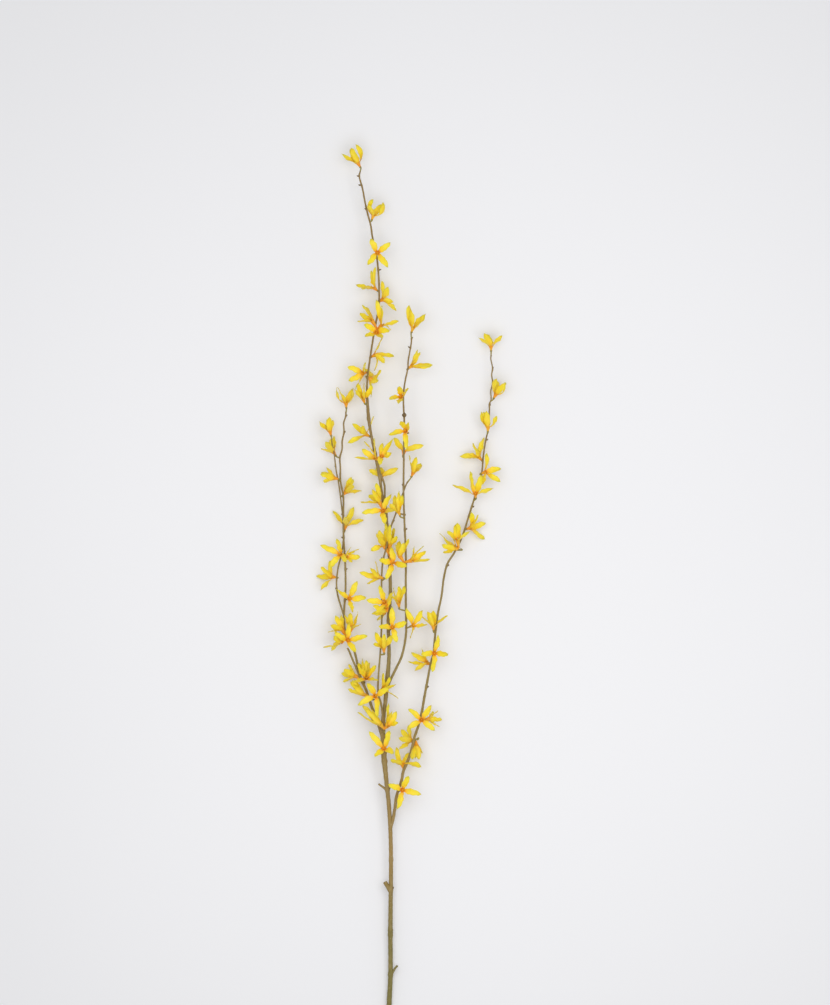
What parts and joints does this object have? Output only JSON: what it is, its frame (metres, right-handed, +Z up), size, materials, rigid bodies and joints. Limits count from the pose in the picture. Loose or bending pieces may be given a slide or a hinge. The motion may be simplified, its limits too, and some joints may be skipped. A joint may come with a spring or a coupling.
{
  "type": "forsythia branch",
  "caption": "Cut forsythia branch in bloom: woody stem with side branches, twigs and buds, and four-lobed yellow corollas, laid flat.",
  "frame": {"origin": "bottom centre of the branch as it lies, on the surface it rests on", "axes": "+Y from the cut end towards the tip, +X to the right of the picture, +Z up from the surface"},
  "size_m": [0.219, 1.026, 0.0607],
  "materials": {
    "bark": "dry olive-brown bark",
    "petal": "soft yellow petal"
  },
  "bodies": {
    "root": {"woody_stem": "bark", "bloom_main_01": "petal", "bloom_main_02": "petal", "bloom_main_03": "petal", "bloom_main_04": "petal", "bloom_main_05": "petal", "bloom_main_06": "petal", "bloom_main_08": "petal", "bloom_main_09": "petal", "bloom_main_10": "petal", "bloom_main_11": "petal", "bloom_main_12": "petal", "bloom_main_13": "petal", "bloom_main_14": "petal", "bloom_main_15": "petal", "bloom_main_17": "petal", "bloom_main_19": "petal", "bloom_main_20": "petal", "bloom_main_21": "petal", "bloom_main_22": "petal", "bloom_main_23": "petal", "bloom_main_24": "petal", "bloom_main_25": "petal", "bloom_centre_01": "petal", "bloom_centre_02": "petal", "bloom_centre_03": "petal", "bloom_centre_04": "petal", "bloom_centre_05": "petal", "bloom_centre_06": "petal", "bloom_centre_07": "petal", "bloom_centre_08": "petal", "bloom_centre_10": "petal", "bloom_centre_11": "petal", "bloom_left_01": "petal", "bloom_left_02": "petal", "bloom_left_03": "petal", "bloom_left_04": "petal", "bloom_left_05": "petal", "bloom_left_06": "petal", "bloom_left_07": "petal", "bloom_left_08": "petal", "bloom_left_09": "petal", "bloom_left_10": "petal", "bloom_left_13": "petal", "bloom_left_16": "petal", "bloom_right_01": "petal", "bloom_right_02": "petal", "bloom_right_03": "petal", "bloom_right_04": "petal", "bloom_right_05": "petal", "bloom_right_06": "petal", "bloom_right_07": "petal", "bloom_right_08": "petal", "bloom_right_10": "petal", "bloom_right_11": "petal", "bloom_right_12": "petal", "bloom_right_13": "petal", "bloom_right_14": "petal", "bloom_right_16": "petal", "bloom_right_17": "petal"}
  },
  "joints": []
}
